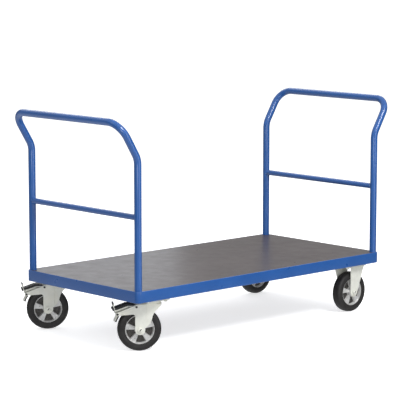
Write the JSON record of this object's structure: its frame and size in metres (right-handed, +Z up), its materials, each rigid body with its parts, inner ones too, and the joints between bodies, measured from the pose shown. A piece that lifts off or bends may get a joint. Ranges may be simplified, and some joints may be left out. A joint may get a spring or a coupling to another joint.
{
  "type": "folding platform cart",
  "caption": "Flat platform cart with a tubular push hoop at each end, braked swivel castors at one end and fixed castors at the other.",
  "frame": {"origin": "middle of the deck's top face", "axes": "+X along the cart from the swivel castors to the fixed castors, +Y across it to the left of a person pushing from the swivel end, +Z up"},
  "size_m": [1.794, 0.85, 1.0648],
  "materials": {
    "blue_powder_coat": "semi-gloss powder coat with a fine orange peel",
    "phenolic_plywood": "brown-grey film-faced plywood with a fine anti-slip mesh",
    "black_rubber": "matt solid rubber",
    "die_cast_aluminium": "die-cast, satin, machined on the outer ring",
    "black_plastic": "matt, ribbed",
    "dark_steel": "oiled steel",
    "zinc_plated_steel": "bright zinc plate with a slight yellow cast"
  },
  "bodies": {
    "frame": {"axle_bolt_fixed_left": "zinc_plated_steel", "axle_bolt_fixed_right": "zinc_plated_steel", "axle_nut_fixed_left": "zinc_plated_steel", "axle_nut_fixed_right": "zinc_plated_steel", "ball_race_swivel_left": "zinc_plated_steel", "ball_race_swivel_right": "zinc_plated_steel", "bracket_fixed_left": "zinc_plated_steel", "bracket_fixed_right": "zinc_plated_steel", "castor_seat_fixed_left": "blue_powder_coat", "castor_seat_fixed_right": "blue_powder_coat", "castor_seat_swivel_left": "blue_powder_coat", "castor_seat_swivel_right": "blue_powder_coat", "corner_socket_fixed_left": "blue_powder_coat", "corner_socket_fixed_right": "blue_powder_coat", "corner_socket_swivel_left": "blue_powder_coat", "corner_socket_swivel_right": "blue_powder_coat", "cross_member_1": "blue_powder_coat", "cross_member_2": "blue_powder_coat", "cross_member_3": "blue_powder_coat", "deck_board": "phenolic_plywood", "king_bolt_swivel_left": "zinc_plated_steel", "king_bolt_swivel_right": "zinc_plated_steel", "rail_fixed_end": "blue_powder_coat", "rail_left": "blue_powder_coat", "rail_right": "blue_powder_coat", "rail_swivel_end": "blue_powder_coat", "top_plate_swivel_left": "zinc_plated_steel", "top_plate_swivel_right": "zinc_plated_steel"},
    "push_hoop_swivel_end": {"hoop_swivel_end": "blue_powder_coat", "mid_bar_swivel_end": "blue_powder_coat"},
    "push_hoop_fixed_end": {"hoop_fixed_end": "blue_powder_coat", "mid_bar_fixed_end": "blue_powder_coat"},
    "castor_right": {"fork_swivel_right": "zinc_plated_steel", "pedal_pin_swivel_right": "dark_steel", "shoe_pin_swivel_right": "dark_steel", "axle_bolt_swivel_right": "zinc_plated_steel", "axle_nut_swivel_right": "zinc_plated_steel"},
    "wheel_swivel_right": {"tyre_swivel_right": "black_rubber", "rim_swivel_right": "die_cast_aluminium", "hub_bearing_swivel_right": "dark_steel"},
    "brake_pedal_right": {"pedal_lever_swivel_right": "zinc_plated_steel", "pedal_pad_swivel_right": "black_plastic"},
    "brake_shoe_right": {"brake_shoe_swivel_right": "zinc_plated_steel"},
    "castor_left": {"fork_swivel_left": "zinc_plated_steel", "pedal_pin_swivel_left": "dark_steel", "shoe_pin_swivel_left": "dark_steel", "axle_bolt_swivel_left": "zinc_plated_steel", "axle_nut_swivel_left": "zinc_plated_steel"},
    "wheel_swivel_left": {"tyre_swivel_left": "black_rubber", "rim_swivel_left": "die_cast_aluminium", "hub_bearing_swivel_left": "dark_steel"},
    "brake_pedal_left": {"pedal_lever_swivel_left": "zinc_plated_steel", "pedal_pad_swivel_left": "black_plastic"},
    "brake_shoe_left": {"brake_shoe_swivel_left": "zinc_plated_steel"},
    "wheel_fixed_right": {"tyre_fixed_right": "black_rubber", "rim_fixed_right": "die_cast_aluminium", "hub_bearing_fixed_right": "dark_steel"},
    "wheel_fixed_left": {"tyre_fixed_left": "black_rubber", "rim_fixed_left": "die_cast_aluminium", "hub_bearing_fixed_left": "dark_steel"}
  },
  "joints": [
    {"name": "lift_out_swivel_end", "type": "slide", "parent": "frame", "child": "push_hoop_swivel_end", "axis": [0, 0, 1], "range_m": [0, 0.12]},
    {"name": "lift_out_fixed_end", "type": "slide", "parent": "frame", "child": "push_hoop_fixed_end", "axis": [0, 0, 1], "range_m": [0, 0.12]},
    {"name": "swivel_turn_right", "type": "hinge", "parent": "frame", "child": "castor_right", "pos_m": [-0.661, -0.331, -0.0675], "axis": [0, 0, 1], "continuous": true},
    {"name": "wheel_roll_swivel_right", "type": "hinge", "parent": "castor_right", "child": "wheel_swivel_right", "pos_m": [-0.70629, -0.30159, -0.191], "axis": [0.5446, 0.8387, 0], "continuous": true},
    {"name": "brake_pedal_right_press", "type": "hinge", "parent": "castor_right", "child": "brake_pedal_right", "pos_m": [-0.72055, -0.29233, -0.0855], "axis": [-0.5446, -0.8387, 0], "range_deg": [0, 6]},
    {"name": "brake_shoe_right_turn", "type": "hinge", "parent": "castor_right", "child": "brake_shoe_right", "pos_m": [-0.79267, -0.24549, -0.1165], "axis": [-0.5446, -0.8387, 0], "range_deg": [0, 20.4]},
    {"name": "swivel_turn_left", "type": "hinge", "parent": "frame", "child": "castor_left", "pos_m": [-0.661, 0.331, -0.0675], "axis": [0, 0, 1], "continuous": true},
    {"name": "wheel_roll_swivel_left", "type": "hinge", "parent": "castor_left", "child": "wheel_swivel_left", "pos_m": [-0.70629, 0.36041, -0.191], "axis": [0.5446, 0.8387, 0], "continuous": true},
    {"name": "brake_pedal_left_press", "type": "hinge", "parent": "castor_left", "child": "brake_pedal_left", "pos_m": [-0.72055, 0.36967, -0.0855], "axis": [-0.5446, -0.8387, 0], "range_deg": [0, 6]},
    {"name": "brake_shoe_left_turn", "type": "hinge", "parent": "castor_left", "child": "brake_shoe_left", "pos_m": [-0.79267, 0.41651, -0.1165], "axis": [-0.5446, -0.8387, 0], "range_deg": [0, 20.4]},
    {"name": "wheel_roll_fixed_right", "type": "hinge", "parent": "frame", "child": "wheel_fixed_right", "pos_m": [0.655, -0.331, -0.191], "axis": [0, 1, 0], "continuous": true},
    {"name": "wheel_roll_fixed_left", "type": "hinge", "parent": "frame", "child": "wheel_fixed_left", "pos_m": [0.655, 0.331, -0.191], "axis": [0, 1, 0], "continuous": true}
  ],
  "couplings": [
    {"joint": "brake_shoe_right_turn", "follows": "brake_pedal_right_press", "ratio": 3.4},
    {"joint": "brake_shoe_left_turn", "follows": "brake_pedal_left_press", "ratio": 3.4}
  ]
}
